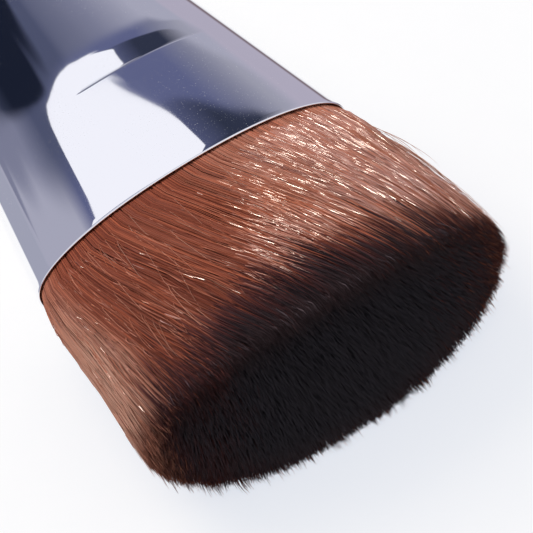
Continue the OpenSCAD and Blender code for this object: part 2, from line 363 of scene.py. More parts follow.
def half_w(back):
    """Half width behind the mouth: straight sides, a cubic reversed curve, then the neck's radius."""
    end = MOUTH_HALF_W - SIDE_TAPER * STRAIGHT_L
    u = np.clip((back - STRAIGHT_L) / (FLARE_L - STRAIGHT_L), 0, 1)
    curve = mix(end, NECK_R, ease(u)) - SIDE_TAPER * (FLARE_L - STRAIGHT_L) * u * (1 - u) ** 2
    return np.where(back <= STRAIGHT_L, MOUTH_HALF_W - SIDE_TAPER * back, curve)


def half_h(back):
    """Half thickness, eased from the mouth to the neck's radius."""
    return mix(MOUTH_HALF_H, NECK_R, ease(back / FLARE_L))


def squareness(back):
    """Exponent of the oval, eased from the mouth's to a circle's."""
    return mix(MOUTH_SQUARENESS, 2.0, ease(back / FLARE_L))


def crimp(back):
    """Depth of the two crimps: raised cosines along the neck."""
    return sum(CRIMP_DEPTH * bump(back - FLARE_L - NECK_L * s, CRIMP_HALF_W) for s in CRIMP_SHARES)


def face_slope(back, y):
    """Slope of the broad face's relief, in radians.

    The face starts to turn where the flare begins, which is soonest a little left of the middle.
    The pressed crease draws the face down in front of it, and adds a step in the slope, which eases
    out behind it and towards the sides.
    """
    across = held(y, *CREASE_SPAN)
    flare = back - table(y, FLARE_START)
    turning = table(flare, FLARE_SLOPE)
    settled = np.where(flare > SETTLED_SLOPE[-1][0], turning, table(flare, SETTLED_SLOPE))
    step = table(back - CREASE_BACK, CREASE_STEP)
    drawn = DRAWN_SLOPE * ease((back - 6) / 6)
    return np.where(back < CREASE_BACK, mix(turning, drawn, across), mix(turning, step + settled, across))


def relief(back, y):
    """Depth of the relief: the slope summed along the back from the mouth, and the crease's groove.

    The rows of back and y run from the mouth.
    """
    slope = face_slope(back, y)
    steps = (slope[1:] + slope[:-1]) / 2 * np.diff(back, axis=0)
    depth = np.concatenate([np.zeros_like(slope[:1]), np.cumsum(steps, axis=0)])
    across = held(y, *GROOVE_SPAN)
    return depth + across * GROOVE_DEPTH * np.exp(-((back - CREASE_BACK) / GROOVE_HALF_W) ** 2)


def oval(back, depth, turns):
    """Superellipse rings: y = (w - d) cos^p t, z = (h - d) sin^p t, for arrays of back and depth."""
    back, depth = np.broadcast_arrays(np.asarray(back, float)[:, None], np.asarray(depth, float)[:, None])
    power = 2 / squareness(back)
    y = (half_w(back) - depth) * signed_power(np.cos(turns), power)
    z = (half_h(back) - depth) * signed_power(np.sin(turns), power)
    return np.stack([-back + 0 * y, y, z], -1)


def make_ferrule():
    """Formed tube: outer rings, the rounded lip bevelled inwards, and inner rings, closed on itself.

    The outer rings are closest at the crease. The relief fades out round the sides with the root of
    |sin t|.
    """
    turns = np.linspace(0, 2 * np.pi, 320, endpoint=False)
    relief_end = 30.0
    places = (FERRULE_L, FLARE_L, relief_end, CREASE_BACK + 0.4, CREASE_BACK - 0.4, LIP_R)
    ring_counts = (45, 39, 49, 32, 29)
    runs = zip(places, places[1:], ring_counts)
    outer = np.concatenate([*(np.linspace(*run, endpoint=False) for run in runs), [LIP_R]])
    roll = np.linspace(0, np.pi * 0.6, 9)[1:]
    inner = np.linspace(WALL, FERRULE_L, 30)
    back = np.concatenate([outer, LIP_R * (1 - np.sin(roll)), inner])
    depth = np.concatenate([crimp(outer), LIP_R * (1 - np.cos(roll)), WALL + crimp(inner)])
    points = oval(back, depth, turns)
    face = points[:len(outer)][::-1]
    sunk = relief(np.broadcast_to(outer[::-1, None], face.shape[:2]), face[..., 1])
    face[..., 2] -= np.sign(face[..., 2]) * sunk * np.sqrt(np.abs(np.sin(turns)))
    return add_mesh("ferrule_shell", points.reshape(-1, 3), grid_faces(len(back), len(turns), closed=True))


# The handle's shape

def make_handle():
    """Turned profile: shoulder fillet, swell, grip, long taper and a quarter-ellipse butt."""
    pole = 0.01
    bend = np.linspace(0, np.pi / 2, 9)
    front = np.stack([SHOULDER_R - FILLET_R + FILLET_R * np.sin(bend), FILLET_R * (1 - np.cos(bend))], -1)
    share = np.linspace(0, 1, 30)[1:]
    swell = np.stack([mix(SHOULDER_R, GRIP_R, ease(share)), mix(FILLET_R, SWELL_L, share)], -1)
    grip = np.stack([0 * share + GRIP_R, SWELL_L + GRIP_L * share], -1)[::5]
    end = SWELL_L + GRIP_L
    taper_l = HANDLE_L - end - BUTT_L
    taper = np.stack([mix(GRIP_R, BUTT_R, ease(share)), end + taper_l * share], -1)
    bend = np.linspace(0, np.pi / 2, 24)[1:]
    butt = np.stack([BUTT_R * np.cos(bend), HANDLE_L - BUTT_L + BUTT_L * np.sin(bend)], -1)
    butt[-1, 0] = pole
    profile = np.concatenate([[[pole, 0.0]], front, swell, grip, taper, butt])
    turns = np.linspace(0, 2 * np.pi, 160, endpoint=False)
    radius, back = profile[:, :1], SHOULDER + profile[:, 1:]
    points = np.stack([-back + 0 * turns, radius * np.cos(turns), radius * np.sin(turns)], -1)
    return add_mesh("handle_body", points.reshape(-1, 3), grid_faces(len(profile), len(turns), closed=True))


# Strands of hair

def splay(front):
    """Growth of the head in front of the mouth: 1 - (1 - u)^p."""
    return 1 - (1 - np.clip(front / HAIR_L, 0, 1)) ** SPLAY_POWER


def head_w(front):
    """Half width of the hair: the ferrule's inside behind the mouth, the flared head in front."""
    root = half_w(np.clip(-front, 0, None)) - WALL - PACK_GAP
    return mix(root, TIP_HALF_W, np.where(front > 0, splay(front), 0))


def head_h(front):
    """Half thickness of the hair, as head_w."""
    root = half_h(np.clip(-front, 0, None)) - WALL - PACK_GAP
    return mix(root, TIP_HALF_H, np.where(front > 0, splay(front), 0))


def cut_face(u, v):
    """Distance of the cut face in front of the mouth: a low parabolic crown both ways, a little tilted."""
    return CUT_L + WIDE_TILT * u - WIDE_CROWN * u * u - THICK_CROWN * v * v


def edge_shift(front, across):
    """Sideways shift of a place on the oval: its edge's, times the square of its share of the width."""
    return np.where(across < 0, table(front, LEFT_SHIFT), table(front, RIGHT_SHIFT)) * across * across


def rounded(p, q):
    """A square's point moved into the oval: p sqrt(1 - k q^2), q sqrt(1 - k p^2)."""
    k = 1 - 2 ** (-2 / MOUTH_SQUARENESS)
    return p * np.sqrt(1 - k * q * q), q * np.sqrt(1 - k * p * p)


def round_the_head(share):
    """Places on the unit oval at even steps round the tip section, for shares from 0 to 1."""
    t = np.linspace(0, 2 * np.pi, 4001)
    power = 2 / MOUTH_SQUARENESS
    u, v = signed_power(np.cos(t), power), signed_power(np.sin(t), power)
    steps = np.hypot(np.diff(u) * TIP_HALF_W, np.diff(v) * TIP_HALF_H)
    length = np.concatenate([[0], np.cumsum(steps)])
    turn = np.interp(share, length / length[-1], t)
    return signed_power(np.cos(turn), power), signed_power(np.sin(turn), power)


def dye_line(u, v):
    """Share of a strand's length at which the dye begins: further out at the sides than in the middle."""
    wander = 0.014 * np.sin(11 * u + 3 * v) + 0.012 * np.sin(23 * u - 9 * v + 1.4)
    return table(u, DYE_START) + wander


def dye_depth(share, u, v, rng, early=0.0, scatter=1.0):
    """How far past the dye's start each place on a strand is, for its share of the length.

    Each strand's start is shifted by chance, more towards the two sides, and at the left the dye
    grows dark more slowly.
    """
    spread = scatter * (0.05 + 0.05 * ease((np.abs(u) - 0.25) / 0.4) + 0.02 * (u > 0))
    past = share - (dye_line(u, v) - early + rng.normal(0, 1, len(u)) * spread)[:, None]
    slow = 1 - 0.55 * ease((-u - 0.3) / 0.3)[:, None]
    return np.where(past > 0, past * slow, past)


def tubes(name, centre, radius, twist, values, smooth=True):
    """Closed three-sided tubes: centre (N, K, 3), radius (N, K), and twist (N, 1) or (N, K).

    Each section is a triangle across the path, turned by the twist.
    """
    count, stations = radius.shape
    along = np.gradient(centre, axis=1)
    along /= np.linalg.norm(along, axis=-1, keepdims=True)
    side = np.cross(along, np.array([0.0, 0.0, 1.0]))
    side /= np.linalg.norm(side, axis=-1, keepdims=True)
    up = np.cross(side, along)
    angle = twist[..., None] + np.array([0, 2, 4]) * np.pi / 3
    ring = (side[:, :, None] * np.cos(angle)[..., None] + up[:, :, None] * np.sin(angle)[..., None])
    points = centre[:, :, None] + ring * radius[:, :, None, None]
    first = (np.arange(count) * stations * 3)[:, None, None, None]
    k, c = np.meshgrid(np.arange(stations - 1), np.arange(3), indexing="ij")
    c1 = (c + 1) % 3
    low, high = k * 3, (k + 1) * 3
    tri = np.stack([
        np.stack([low + c, high + c, high + c1], -1), np.stack([low + c, high + c1, low + c1], -1)
    ], 2)
    walls = (first + tri.reshape(1, -1, 1, 3)).reshape(-1, 3)
    ends = np.array([[0, 1, 2], [(stations - 1) * 3 + i for i in (2, 1, 0)]])
    caps = (first[:, :, 0] + ends[None]).reshape(-1, 3)
    data = {key: np.repeat(np.broadcast_to(v, radius.shape).ravel(), 3) for key, v in values.items()}
    return add_mesh(name, points.reshape(-1, 3), np.concatenate([walls, caps]), data, smooth)


def picked_round(count, draws, rng, chance):
    """Places drawn at random round the head, of which each is kept with the chance at its u."""
    share = rng.uniform(0, 1, draws)
    u, v = round_the_head(share)
    kept = rng.uniform(0, 1, draws) < chance(u)
    return u[kept][:count], v[kept][:count]


def sway(front, u, v, phase):
    """Sideways wander of the hair: sines along it, in step within a tuft, growing outwards."""
    grow = ease(front / HAIR_L * 1.4)
    tuft = 2.2 * np.sin(8 * u + 4 * v) + 1.4 * np.sin(19 * u - 13 * v + 1.0)
    return grow * sum(
        height * np.sin(2 * np.pi * front / length + by_tuft * tuft + by_strand * phase)
        for length, height, by_tuft, by_strand in SWAY_WAVES)


def swept(u, v, fronts):
    """Place on the unit oval at each section: turned round it from the cut face back to the mouth.

    The hair runs aslant over the broad faces, and straight along the two sides.
    """
    turn = HAIR_TURN * np.abs(v) ** 1.5 * (1 - np.clip(fronts / HAIR_L, 0, 1))
    across, up = u * np.cos(turn) - v * np.sin(turn), v * np.cos(turn) + u * np.sin(turn)
    before = np.abs(u) ** MOUTH_SQUARENESS + np.abs(v) ** MOUTH_SQUARENESS
    after = np.abs(across) ** MOUTH_SQUARENESS + np.abs(up) ** MOUTH_SQUARENESS
    keep = (before / after) ** (1 / MOUTH_SQUARENESS)
    return across * keep, up * keep


def strand_paths(u, v, fronts, rng, loose, depth=1.0):
    """Centre lines through the head: the oval's place turned back from the tip, plus sway and drift.

    depth draws each section in towards the axis.
    """
    phase = rng.uniform(-1, 1, (len(u), 1)) * 2.2
    outwards = np.clip(fronts, 0, None) / HAIR_L
    drift = rng.normal(0, loose, (len(u), 1)) * outwards ** 1.6
    lift = rng.normal(0, loose, (len(u), 1)) * outwards ** 2
    across, up = swept(u[:, None], v[:, None], fronts)
    y, z = head_w(fronts) * across * depth, head_h(fronts) * up * depth
    y = y + edge_shift(fronts, across)
    reach = np.hypot(y, z) + 1e-6
    tangent = np.stack([-z / reach, y / reach], -1)
    outward = np.stack([y / reach, z / reach], -1)
    aside = sway(fronts, u[:, None], v[:, None], phase) + drift
    out = 0.35 * sway(fronts, v[:, None], u[:, None], phase + 2) + lift
    shift = aside[..., None] * tangent + out[..., None] * outward
    y, z = y + shift[..., 0], z + shift[..., 1]
    return np.stack([fronts, y, np.maximum(z, TABLE_Z + 0.08)], -1)


def make_side_hair(name, count, seed, depth_share, strand_r, loose):
    """Full-length strands just inside the head's surface, from inside the lip to the cut face."""
    rng = np.random.default_rng(seed)
    share = (np.arange(count) + rng.uniform(0, 1, count)) / count
    u, v = round_the_head(share)
    rho = 1 - depth_share * rng.uniform(0, 1, count) ** 1.3
    u, v = u * rho, v * rho
    tip = cut_face(u, v) - 1.5 * rng.uniform(0, 1, count) ** 1.6
    steps, thin = np.array(SIDE_SECTIONS).T
    fronts = mix(SIDE_ROOT, tip[:, None], steps)
    radius = strand_r * rng.uniform(0.7, 1.25, (count, 1)) * thin
    shade = 0.42 + 0.05 * np.sin(23 * share * 2 * np.pi) + rng.normal(0, 0.2, count)
    # Painted light and shade across the head, by each place's share of the width
    shade = shade[:, None] + table(swept(u[:, None], v[:, None], fronts)[0], PAINTED_LIGHT_ACROSS)
    paths = strand_paths(u, v, fronts, rng, loose)
    dip = dye_depth(fronts / tip[:, None], u, v, rng)
    # Painted light at the dyed ends, against the shade among the tips
    shade = shade + END_PAINTED_LIGHT * ease(dip * 8) * ease((fronts - tip[:, None] + 3) / 3)
    # Painted sheen: paler hair at the left side, more along part of its length, and some at the right
    pale = pale_and_sheen(u, rng) * np.where(u[:, None] < 0, table(fronts / tip[:, None], SHEEN_ALONG), 1)
    values = {"dip": dip, "shade": np.clip(shade, 0, 1.5), "pale": pale}
    return tubes(name, paths, radius, rng.uniform(0, 2, (count, 1)), values)


def pale_and_sheen(u, rng):
    """How far a strand is paler than the rest: painted sheen, most at the left side, less at the right, with
    paleness that differs at random.
    """
    left = 0.9 * ease((-u - 0.62) / 0.3)
    right = 0.35 * ease((u - 0.3) / 0.3)
    return np.clip(left + right + rng.normal(0, 0.12, len(u)), 0, 1)[:, None]


def make_bright_hair(name, count, seed, strand_r, loose):
    """Glossy strands on the outside, in short flat facets, which catch the light one by one.

    Fewer of them are left of the middle. The lone ones, which are all those at the left and a few
    elsewhere, come to the surface for a short stretch. The others do so at a line that slants over
    the head, and stay there.
    """
    rng = np.random.default_rng(seed)
    u, v = picked_round(count, count * 4, rng, lambda u: 0.3 + 0.7 * ease((u + 0.18) / 0.3))
    count = len(u)
    rho = 1.004 - 0.035 * rng.uniform(0, 1, count)
    u, v = u * rho, v * rho
    tip = cut_face(u, v) * np.clip(dye_line(u, v) + rng.uniform(-0.35, 0.04, count), 0.3, 0.97)
    lone = (rng.uniform(0, 1, count) < 0.09) | (u < -0.15)
    steps = np.linspace(0, 1, 20)
    each = (count, len(steps))
    fronts = mix(OVER_ROOT, tip[:, None], steps) + rng.normal(0, 0.25, each) * (steps > 0) * (steps < 1)
    kink = rng.normal(0, 0.02, (*each, 3)) * ease(steps * 6)[None, :, None]
    kink[..., 0] = 0
    start = 0.32 + rng.normal(0, 0.1, count)[:, None] - 0.8 * fronts / HAIR_L
    bared = ease((swept(u[:, None], v[:, None], fronts)[0] - start) / 0.15)
    crest = ease(1.6 - np.abs(steps - rng.uniform(0.05, 1, (count, 1))) / 0.06)
    bared = np.where(lone[:, None], crest, bared)
    paths = strand_paths(u, v, fronts, rng, loose, mix(0.93, 1.0, bared)) + kink
    paths[..., 1] = np.clip(paths[..., 1], -GLOSSY_HALF_W, GLOSSY_HALF_W)
    radius = strand_r * rng.uniform(0.7, 1.3, (count, 1)) * np.clip(8 * (1.02 - steps), 0, 1)
    dye_start = dye_line(u, v) + 0.02 + rng.normal(0, 0.04, count)
    dip = fronts / cut_face(u, v)[:, None] - dye_start[:, None]
    # Painted sheen: crown is a lighter, paler band at about two thirds of the length
    crown = bump(fronts / HAIR_L - 0.66, 0.2)
    # Painted shade: darker near the mouth, except at the far right, where the rim shades the hair
    mouth_shade = (1 - ease(fronts / HAIR_L / 0.45)) * (1 - ease((u - 0.4) / 0.3))[:, None]
    shade = np.clip(rng.normal(0.7, 0.25, (count, 1)), 0, 1) + 0.3 * crown - 0.35 * mouth_shade
    # Painted sheen: paler toward the right
    pale = np.clip(rng.normal(0.12 + 0.36 * ease((u - 0.45) / 0.3)[:, None], 0.15), 0, 1) + 0.3 * crown
    values = {"dip": dip, "shade": shade, "pale": pale}
    twist = FACET_TURN + rng.normal(0, 0.3, (count, 1)) + rng.normal(0, 0.4, each)
    return tubes(name, paths, radius, twist, values, smooth=False)


def make_loose_hair(name, count, seed):
    """Single pale hairs that lie across the others, each on top of them for a part of its length.

    Each is turned round the axis by an angle that changes along it: y = w (u cos a - v sin a).
    """
    rng = np.random.default_rng(seed)
    u, v = picked_round(count, count * 3, rng, lambda u: 0.25 + 0.75 * ease((-u - 0.1) / 0.4))
    count = len(u)
    steps = np.linspace(0, 1, 16)
    tip = cut_face(u, v) * rng.uniform(0.8, 0.97, count)
    fronts = mix(OVER_ROOT, tip[:, None], steps)
    on_top = ease(1.8 - np.abs(steps - rng.uniform(0.1, 0.9, (count, 1))) / 0.12)
    rise = mix(-0.05, 0.006 * ease((u[:, None] + 0.9) / 0.3), on_top)
    turn = rng.normal(0, 0.09, (count, 1)) * steps ** 1.4
    bend = rng.normal(0, 0.03, (count, 1)) * np.sin(np.pi * steps * rng.uniform(0.8, 2.2, (count, 1)))
    back = HAIR_TURN * (v * v * rng.uniform(-0.3, 0.7, count))[:, None] * (1 - steps)
    angle = turn + bend + back
    y = head_w(fronts) * (u[:, None] * np.cos(angle) - v[:, None] * np.sin(angle)) * (1.0 + rise)
    y = y + edge_shift(fronts, u[:, None])
    z = head_h(fronts) * (v[:, None] * np.cos(angle) + u[:, None] * np.sin(angle)) * (1.0 + rise)
    z = np.clip(z, TABLE_Z + 0.06, TIP_HALF_H * 1.03)
    radius = rng.uniform(0.022, 0.036, (count, 1)) * np.clip(6 * (1.03 - steps), 0, 1)
    dye_start = dye_line(u, v) + 0.03 + rng.normal(0, 0.05, count)
    dip = fronts / cut_face(u, v)[:, None] - dye_start[:, None]
    shade = np.clip(rng.normal(1.0, 0.3, (count, 1)), 0, 1.5)
    values = {"dip": dip, "shade": shade, "pale": np.clip(rng.normal(0.45, 0.25, (count, 1)), 0, 1)}
    return tubes(name, np.stack([fronts, y, z], -1), radius, rng.uniform(0, 2, (count, 1)), values)


def make_stray_hair(name, count, seed):
    """Fine single hairs that leave the head at its right side and stand a little way off it."""
    rng = np.random.default_rng(seed)
    angle = rng.normal(0.15, 0.35, count)
    steps = np.linspace(0, 1, 14)
    tip = HAIR_L * rng.uniform(0.35, 0.98, count)
    fronts = mix(-0.4, tip[:, None], steps)
    away = rng.uniform(0.2, 1.6, (count, 1)) * np.sin(np.pi * 0.62 * steps) ** 1.5
    wave = 2 * np.pi * steps * rng.uniform(0.7, 1.8, (count, 1)) + rng.uniform(0, 6, (count, 1))
    wave = 0.12 * np.sin(wave) * steps
    y = (head_w(fronts) - 0.1) * np.cos(angle)[:, None] + away + wave
    y = np.clip(y, -STRAY_HALF_W, STRAY_HALF_W)
    z = np.clip(head_h(fronts) * np.sin(angle)[:, None] + 0.2 * wave, TABLE_Z + 0.06, TIP_HALF_H)
    radius = rng.uniform(0.018, 0.028, (count, 1)) * np.clip(5 * (1.04 - steps), 0, 1)
    dip = fronts / HAIR_L - 1.05 + 0 * z
    values = {"dip": dip, "shade": np.ones((count, 1)), "pale": rng.uniform(0.4, 1.0, (count, 1))}
    return tubes(name, np.stack([fronts, y, z], -1), radius, rng.uniform(0, 2, (count, 1)), values)


def make_fringe(name, count, seed):
    """Fine tips that stand out round the edge of the cut face, in little wisps."""
    rng = np.random.default_rng(seed)
    wisps = 1500
    wisp = rng.integers(0, wisps, count)
    middle = (np.arange(wisps) + rng.uniform(0, 1, wisps)) / wisps
    u, v = round_the_head((middle[wisp] + rng.normal(0, 0.0007, count)) % 1)
    rho = rng.uniform(0.95, 1.0, count)
    u, v = u * rho, v * rho
    left = ease((-u - 0.3) / 0.5)
    longer = (1.5 * rng.uniform(0, 1, wisps) ** 1.7)[wisp] * rng.uniform(0.3, 1.0, count) * (1 + 0.4 * left)
    tip = cut_face(u, v) - 0.5 + longer
    back, thin, leaning = np.array(FRINGE_SECTIONS).T
    fronts = tip[:, None] - back
    radius = 0.035 * rng.uniform(0.7, 1.2, (count, 1)) * thin
    lean = (rng.normal(0, 0.12, wisps)[wisp] + rng.normal(0, 0.04, count))[:, None] * leaning
    paths = strand_paths(u, v, fronts, rng, loose=0.1)
    paths[..., 1] += lean * v[:, None] * 2
    paths[..., 2] -= lean * u[:, None]
    paths[..., 1] = np.clip(paths[..., 1], -TIP_HALF_W * 1.015, TIP_HALF_W * 1.015)
    paths[..., 2] = np.maximum(paths[..., 2], TABLE_Z + 0.06)
    # Painted light: on the lower edge the dye starts later in some wisps, so their tips show brown where
    # light shines through them
    painted_light_below = 0.32 * ease((-v - 0.1) / 0.4) * rng.uniform(0, 1, wisps)[wisp]
    dip = dye_depth(fronts / tip[:, None] - painted_light_below[:, None], u, v, rng, early=0.02)
    # Painted light at the dyed ends, against the shade among the tips
    shade = np.clip(rng.normal(0.4, 0.26, count)[:, None] + END_PAINTED_LIGHT * ease(dip * 8), 0, 1.5)
    # The pale value is painted sheen at the sides, at half strength
    values = {"dip": dip, "shade": shade, "pale": 0.5 * pale_and_sheen(u, rng)}
    return tubes(name, paths, radius, rng.uniform(0, 2, (count, 1)), values)


def make_tip_hair(name, columns, rows, seed, band, strand_r):
    """Short strands that fill the cut face: a jittered grid rounded into the oval, tips thinned."""
    rng = np.random.default_rng(seed)
    i, j = np.meshgrid(np.arange(columns), np.arange(*band), indexing="ij")
    i, j = i.ravel(), j.ravel()
    p = 2 * (i + rng.uniform(0, 1, i.size)) / columns - 1
    q = 2 * (j + rng.uniform(0, 1, j.size)) / rows - 1
    u, v = rounded(p, q)
    tip = cut_face(u, v) - 0.8 * rng.uniform(0, 1, i.size) ** 1.5
    back, thin, drawn_in = np.array(TIP_SECTIONS).T
    fronts = tip[:, None] - back
    radius = strand_r * rng.uniform(0.8, 1.2, (i.size, 1)) * thin
    # Painted light: rim gives the tips toward the face's edge the redder, lighter tone, where light reaches
    # and shines through them
    rim = 0.9 * ease((np.hypot(u, v) - 0.5) / 0.5)
    shade = np.clip(rng.normal(0.1, 0.15, i.size) + rim, 0, 1.2)
    paths = strand_paths(u, v, fronts, rng, loose=0.16, depth=drawn_in)
    dip = dye_depth(fronts / tip[:, None], u, v, rng, early=0.06, scatter=0.7)
    shade = mix(rng.normal(0.4, 0.26, i.size)[:, None], shade[:, None], ease((dip + 0.1) * 6))
    # The pale value is painted sheen at the sides, at half strength
    values = {"dip": dip, "shade": np.clip(shade, 0, 1.2), "pale": 0.5 * pale_and_sheen(u, rng)}
    return tubes(name, paths, radius, rng.uniform(0, 2, (i.size, 1)), values)


def make_core():
    """Packed hair under the strands: oval sections at a share of the head, with a domed front."""
    root = -1.4
    below_cut = 2.6
    width = 0.9
    pole = 0.001
    turns = np.linspace(0, 2 * np.pi, 160, endpoint=False)
    power = 2 / MOUTH_SQUARENESS
    u, v = signed_power(np.cos(turns), power), signed_power(np.sin(turns), power)
    rho = np.concatenate([np.full(40, width), np.linspace(width, pole, 40)[1:]])
    level = np.concatenate([np.linspace(0, 1, 40), np.ones(39)])
    pu, pv = rho[:, None] * u, rho[:, None] * v
    front = mix(root, cut_face(pu, pv) - below_cut, level[:, None])
    y, z = head_w(front) * pu, head_h(front) * pv
    points = np.stack([front, y, z], -1)
    start = points[:1].copy()
    start[..., 1:] *= pole
    points = np.concatenate([start, points])
    dip = np.clip(points[..., 0] / HAIR_L, 0, 1) * 1.05 - 0.8
    values = {"dip": dip, "shade": 0 * dip + 0.2, "pale": 0 * dip}
    faces = grid_faces(len(points), len(turns), closed=True)
    return add_mesh("hair_core", points.reshape(-1, 3), faces, values)


# Materials

class Nodes:
    """The node tree of a material or of the world, built by name."""

    def __init__(self, owner):
        owner.use_nodes = True
        self.owner = owner
        self.tree = owner.node_tree
        self.tree.nodes.clear()

    def add(self, kind, inputs=None, **settings):
        """A node of that kind, with its settings, and its inputs set or linked."""
        node = self.tree.nodes.new("ShaderNode" + kind)
        for key, value in settings.items():
            setattr(node, key, value)
        for key, value in (inputs or {}).items():
            if isinstance(value, bpy.types.NodeSocket):
                self.tree.links.new(value, node.inputs[key])
            else:
                node.inputs[key].default_value = value
        return node

    def math(self, operation, a, b):
        """The output of a Math node."""
        return self.add("Math", {0: a, 1: b}, operation=operation).outputs[0]

    def blend(self, share, a, b):
        """The colour output of a Mix node between two colours."""
        node = self.add("Mix", {0: share}, data_type="RGBA")
        for socket, value in ((node.inputs[6], a), (node.inputs[7], b)):
            if isinstance(value, bpy.types.NodeSocket):
                self.tree.links.new(value, socket)
            else:
                socket.default_value = (*value, 1)
        return node.outputs[2]

    def noise(self, scale, detail=3.0, stretch=(1, 1, 1)):
        """Noise on Object coordinates, stretched by a scale on each axis."""
        place_at = self.add("TexCoord").outputs["Object"]
        mapped = self.add("Mapping", {"Vector": place_at, "Scale": stretch}).outputs[0]
        return self.add("TexNoise", {"Vector": mapped, "Scale": scale, "Detail": detail}).outputs[0]

    def ramp(self, value, low, high, to_low=0.0, to_high=1.0):
        """A clamped smooth Map Range."""
        node = self.add("MapRange", {0: value, 1: low, 2: high, 3: to_low, 4: to_high})
        node.interpolation_type = "SMOOTHSTEP"
        return node.outputs[0]

    def seen(self):
        """1 for what the camera, a mirror or clear glass shows, and 0 for the light that falls on things."""
        path = self.add("LightPath").outputs
        seen = self.math("MAXIMUM", path["Is Camera Ray"], path["Is Glossy Ray"])
        return self.math("MAXIMUM", seen, path["Is Transmission Ray"])

    def bumps(self, height, strength, distance):
        """The normal of a Bump node."""
        return self.add("Bump", {"Strength": strength, "Distance": distance, "Height": height}).outputs[0]

    def finish(self, shader):
        """Links the shader to the output and returns the material."""
        self.add("OutputMaterial", {0: shader})
        return self.owner


def material_nodes(name):
    """An empty node tree in a new material."""
    return Nodes(bpy.data.materials.new(name))


def chrome():
    """Bright plate: near-mirror, finely wiped along its length, a little cloudy, with dull specks."""
    n = material_nodes("ferrule_bright_plate")
    wiped = n.noise(2600, 2, stretch=(0.05, 1, 1))
    cloud = n.noise(90, 3)
    specks = n.math("MULTIPLY", n.ramp(n.noise(8200, 0), 0.75, 0.80), n.ramp(n.noise(60, 2), 0.45, 0.6))
    shader = n.add("BsdfPrincipled", {
        "Base Color": n.blend(cloud, *PLATE_TONES),
        "Metallic": n.math("SUBTRACT", 1.0, n.math("MULTIPLY", specks, 0.3)),
        "Roughness": n.ramp(cloud, 0.4, 0.7, 0.028, 0.045),
        "Normal": n.bumps(n.math("MULTIPLY", wiped, 0.25), strength=0.05, distance=0.00001),
    })
    return n.finish(shader.outputs[0])


def lacquer():
    """Gloss black lacquer over fine hardwood grain, with a slight orange peel."""
    n = material_nodes("handle_black_lacquer")
    grain = n.noise(900, 4, stretch=(0.06, 1, 1))
    peel = n.noise(420, 2)
    height = n.math("ADD", n.math("MULTIPLY", grain, 0.35), peel)
    shader = n.add("BsdfPrincipled", {
        "Base Color": n.blend(n.ramp(grain, 0.35, 0.7), *LACQUER_TONES),
        "Roughness": n.ramp(peel, 0.3, 0.7, 0.13, 0.2),
        "Normal": n.bumps(height, strength=0.12, distance=0.00006),
        "Specular IOR Level": 0.15, "Coat Weight": 0.4, "Coat Roughness": 0.06,
    })
    return n.finish(shader.outputs[0])


def hair(name, browns, pale, dyes, roughness, specular, tint):
    """Synthetic hair: brown lengths of uneven shade, dipped in a near-black dye at the tips. Its shade value
    also carries painted light and shade, and its pale value painted sheen.
    """
    n = material_nodes(name)
    dip, shade, pale_and_sheen_at = (
        n.add("Attribute", attribute_name=key).outputs["Fac"] for key in ("dip", "shade", "pale"))
    patch = n.noise(160, 3, stretch=(0.5, 1, 1))
    tone = n.math("ADD", n.math("MULTIPLY", shade, 0.8), n.math("MULTIPLY", patch, 0.3))
    brown = n.blend(n.ramp(tone, 0.15, 1.0), *browns)
    # Painted sheen: the pale value blends the brown toward a pale tone
    brown = n.blend(n.math("MULTIPLY", pale_and_sheen_at, n.ramp(tone, -0.2, 0.7)), brown, pale)
    uneven = n.math("MULTIPLY", n.math("SUBTRACT", patch, 0.5), 0.16)
    dip = n.math("ADD", dip, uneven)
    tips = n.blend(n.ramp(shade, 0.1, 1.5), *dyes)
    edge = n.blend(n.ramp(dip, -0.13, 0.0), brown, DYE_EDGE)
    shader = n.add("BsdfPrincipled", {
        "Base Color": n.blend(n.ramp(dip, -0.03, 0.12), edge, tips),
        "Roughness": n.ramp(dip, -0.1, 0.1, roughness, 0.6),
        "Specular IOR Level": specular, "Specular Tint": (*tint, 1),
    })
    return n.finish(shader.outputs[0])


def plain(name, tones, roughness, scale, stretch=(1, 1, 1)):
    """A dull material for the pieces hidden inside: two tones by noise, and a little relief."""
    n = material_nodes(name)
    grain = n.noise(scale, 4, stretch)
    shader = n.add("BsdfPrincipled", {
        "Base Color": n.blend(n.ramp(grain, 0.35, 0.65), *tones), "Roughness": roughness,
        "Normal": n.bumps(grain, strength=0.3, distance=0.0001),
    })
    return n.finish(shader.outputs[0])


def dress(piece, material):
    """Gives the piece one material."""
    piece.data.materials.clear()
    piece.data.materials.append(material)


# Studio

def make_floor():
    """White table: what is seen of it is mostly a glow, and the rest takes the brush's shadow."""
    n = material_nodes("table_white")
    lit = n.add("BsdfDiffuse", {"Color": n.blend(n.noise(300, 2), *TABLE_TONES)}).outputs[0]
    glow = n.add("Emission", {"Color": (*TABLE_GLOW, 1), "Strength": n.seen()}).outputs[0]
    shader = n.add("AddShader", {0: lit, 1: glow}).outputs[0]
    corners = [(x * TABLE_REACH, y * TABLE_REACH, floor_height(x * TABLE_REACH))
               for x, y in ((-1, -1), (1, -1), (1, 1), (-1, 1))]
    mesh = bpy.data.meshes.new("table")
    mesh.from_pydata(corners, [], [(0, 1, 2, 3)])
    floor = add_object("table", mesh)
    dress(floor, n.finish(shader))


def floor_height(x):
    """Height of the table in metres: it is tilted, so that the head's flat and the grip both rest on it."""
    rest_x = MOUTH_X + HEAD_REST * MM
    grip_x = MOUTH_X - (SHOULDER + SWELL_L + GRIP_L) * MM
    slope = (AXIS_Z - GRIP_R * MM) / (grip_x - rest_x)
    return (x - rest_x) * slope - TABLE_GAP


def linear(code):
    """Linear light of a display colour of 0 to 255."""
    share = np.asarray(code, float) / 255
    return np.where(share <= 0.04045, share / 12.92, ((share + 0.055) / 1.055) ** 2.4)


